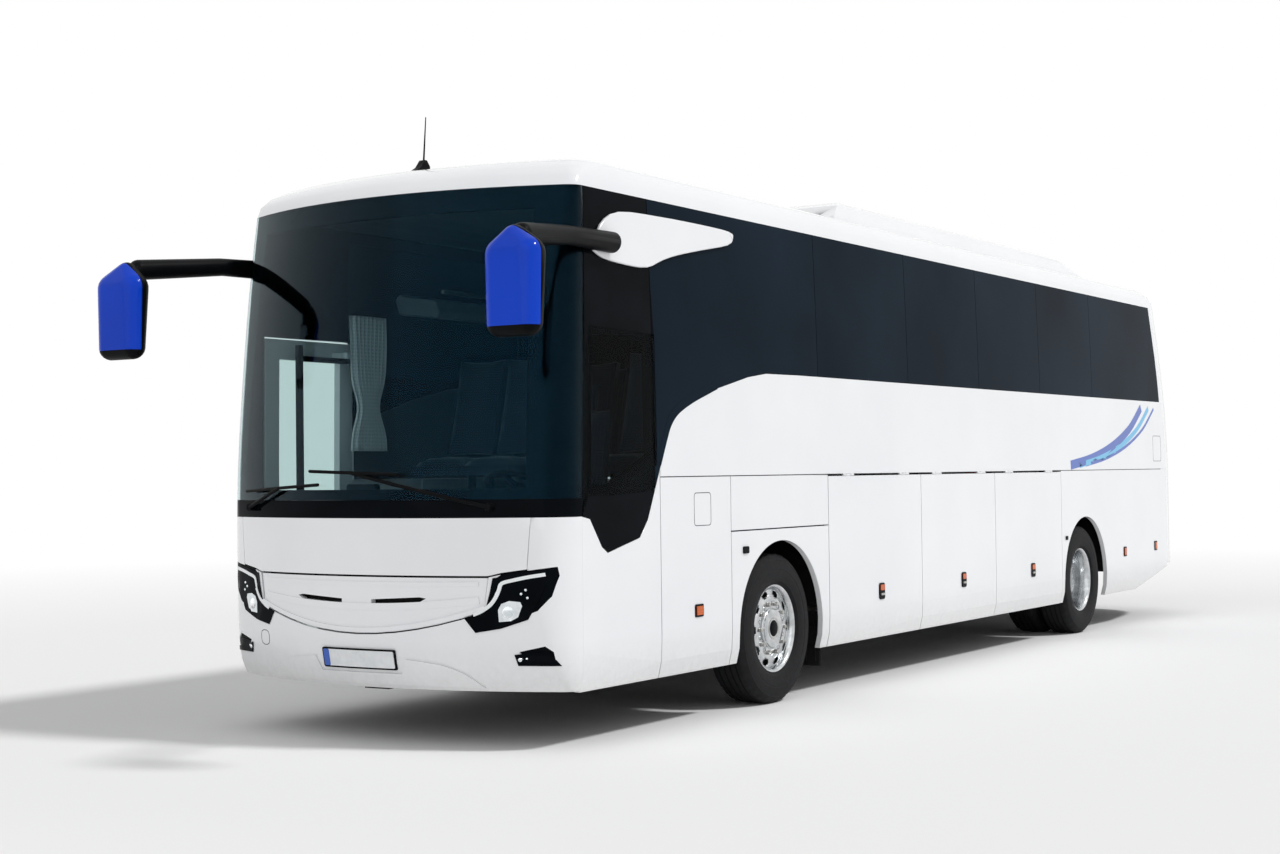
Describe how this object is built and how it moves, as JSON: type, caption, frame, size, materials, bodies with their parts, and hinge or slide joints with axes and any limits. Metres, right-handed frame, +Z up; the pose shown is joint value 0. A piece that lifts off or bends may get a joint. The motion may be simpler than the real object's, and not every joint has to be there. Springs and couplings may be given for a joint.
{
  "type": "coach bus",
  "caption": "Two-axle touring coach with steered front wheels, twin rear wheels, swing-out doors, luggage flaps, roof cooling pod and long mirror arms.",
  "frame": {"origin": "on the road, under the middle of the overall box", "axes": "+X forward, +Y to the driver's left side, +Z up"},
  "size_m": [12.7052, 3.2584, 3.745],
  "materials": {
    "white_paint": "gloss",
    "alloy": "polished",
    "tyre_rubber": "matte",
    "chassis_black": "satin",
    "clear_glass": "gloss",
    "tinted_glass": "gloss",
    "black_plastic": "gloss",
    "bellows_rubber": "matte",
    "lamp_glass": "gloss",
    "red_lens": "gloss",
    "amber_lens": "gloss",
    "blue_paint": "gloss",
    "floor_covering": "matte",
    "seat_fabric": "matte"
  },
  "bodies": {
    "coach": {"roof": "white_paint", "roof_caps": "white_paint", "front_flap": "white_paint", "grille_panel": "white_paint", "bumper": "white_paint", "side_panels": "white_paint", "lower_panels": "white_paint", "rear_panels": "white_paint", "ac_unit": "white_paint", "mirror_fairings": "white_paint", "underframe": "chassis_black", "front_axle": "chassis_black", "rear_axle": "chassis_black", "engine": "chassis_black", "windscreen": "clear_glass", "side_glass": "tinted_glass", "rear_glass": "tinted_glass", "windscreen_surround": "black_plastic", "window_frames": "black_plastic", "mirror_arms": "black_plastic", "wipers": "black_plastic", "dashboard": "black_plastic", "steering_wheel": "black_plastic", "antenna": "black_plastic", "air_springs": "bellows_rubber", "front_lamps": "lamp_glass", "tail_lamps": "red_lens", "side_markers": "amber_lens", "mirror_caps": "blue_paint", "floor_deck": "floor_covering", "driver_seat": "seat_fabric", "seat_bases": "seat_fabric", "seat_backs": "seat_fabric"},
    "knuckle_left": {"knuckle_left": "chassis_black"},
    "knuckle_right": {"knuckle_right": "chassis_black"},
    "wheel_front_left": {"rim_front_left": "alloy", "tyre_front_left": "tyre_rubber"},
    "wheel_front_right": {"rim_front_right": "alloy", "tyre_front_right": "tyre_rubber"},
    "wheels_rear_left": {"rims_rear_left": "alloy", "tyres_rear_left": "tyre_rubber"},
    "wheels_rear_right": {"rims_rear_right": "alloy", "tyres_rear_right": "tyre_rubber"},
    "left_flap_1": {"left_flap_1": "white_paint"},
    "left_flap_2": {"left_flap_2": "white_paint"},
    "left_flap_3": {"left_flap_3": "white_paint"},
    "right_flap_1": {"right_flap_1": "white_paint"},
    "right_flap_2": {"right_flap_2": "white_paint"},
    "front_door_arm": {"front_door_arm": "chassis_black"},
    "front_door": {"front_door": "white_paint", "front_door_glass": "clear_glass"},
    "mid_door_arm": {"mid_door_arm": "chassis_black"},
    "mid_door": {"mid_door": "white_paint"},
    "engine_lid": {"engine_lid": "white_paint"}
  },
  "joints": [
    {"name": "steer_left", "type": "hinge", "parent": "coach", "child": "knuckle_left", "pos_m": [2.9775, 1, 0.5], "axis": [0, 0, 1], "range_deg": [-42, 42]},
    {"name": "steer_right", "type": "hinge", "parent": "coach", "child": "knuckle_right", "pos_m": [2.9775, -1, 0.5], "axis": [0, 0, 1], "range_deg": [-42, 42]},
    {"name": "spin_front_left", "type": "hinge", "parent": "knuckle_left", "child": "wheel_front_left", "pos_m": [2.9775, 1.09, 0.5], "axis": [0, 1, 0], "continuous": true},
    {"name": "spin_front_right", "type": "hinge", "parent": "knuckle_right", "child": "wheel_front_right", "pos_m": [2.9775, -1.09, 0.5], "axis": [0, 1, 0], "continuous": true},
    {"name": "spin_rear_left", "type": "hinge", "parent": "coach", "child": "wheels_rear_left", "pos_m": [-3.1125, 0.9275, 0.5], "axis": [0, 1, 0], "continuous": true},
    {"name": "spin_rear_right", "type": "hinge", "parent": "coach", "child": "wheels_rear_right", "pos_m": [-3.1125, -0.9275, 0.5], "axis": [0, 1, 0], "continuous": true},
    {"name": "left_flap_1_hinge", "type": "hinge", "parent": "coach", "child": "left_flap_1", "pos_m": [1.479, 1.275, 1.522], "axis": [1, 0, 0], "range_deg": [0, 90]},
    {"name": "left_flap_2_hinge", "type": "hinge", "parent": "coach", "child": "left_flap_2", "pos_m": [-0.0815, 1.275, 1.522], "axis": [1, 0, 0], "range_deg": [0, 90]},
    {"name": "left_flap_3_hinge", "type": "hinge", "parent": "coach", "child": "left_flap_3", "pos_m": [-1.648, 1.275, 1.522], "axis": [1, 0, 0], "range_deg": [0, 90]},
    {"name": "right_flap_1_hinge", "type": "hinge", "parent": "coach", "child": "right_flap_1", "pos_m": [1.479, -1.275, 1.522], "axis": [-1, 0, 0], "range_deg": [0, 90]},
    {"name": "right_flap_2_hinge", "type": "hinge", "parent": "coach", "child": "right_flap_2", "pos_m": [-0.0815, -1.275, 1.522], "axis": [-1, 0, 0], "range_deg": [0, 90]},
    {"name": "front_door_swing", "type": "hinge", "parent": "coach", "child": "front_door_arm", "pos_m": [5.0801, -1.1, 1.4], "axis": [0, 0, 1], "range_deg": [0, 130]},
    {"name": "front_door_leaf", "type": "hinge", "parent": "front_door_arm", "child": "front_door", "pos_m": [4.6301, -1.1, 1.4], "axis": [0, 0, 1], "range_deg": [-130, 0]},
    {"name": "mid_door_swing", "type": "hinge", "parent": "coach", "child": "mid_door_arm", "pos_m": [-1.5435, -1.1, 1.3], "axis": [0, 0, -1], "range_deg": [0, 130]},
    {"name": "mid_door_leaf", "type": "hinge", "parent": "mid_door_arm", "child": "mid_door", "pos_m": [-1.0935, -1.1, 1.3], "axis": [0, 0, -1], "range_deg": [-130, 0]},
    {"name": "engine_lid_hinge", "type": "hinge", "parent": "coach", "child": "engine_lid", "pos_m": [-6.3615, 0, 1.7], "axis": [0, 1, 0], "range_deg": [0, 85]}
  ],
  "couplings": [
    {"joint": "steer_right", "follows": "steer_left", "ratio": 1},
    {"joint": "front_door_leaf", "follows": "front_door_swing", "ratio": -1},
    {"joint": "mid_door_leaf", "follows": "mid_door_swing", "ratio": -1}
  ]
}
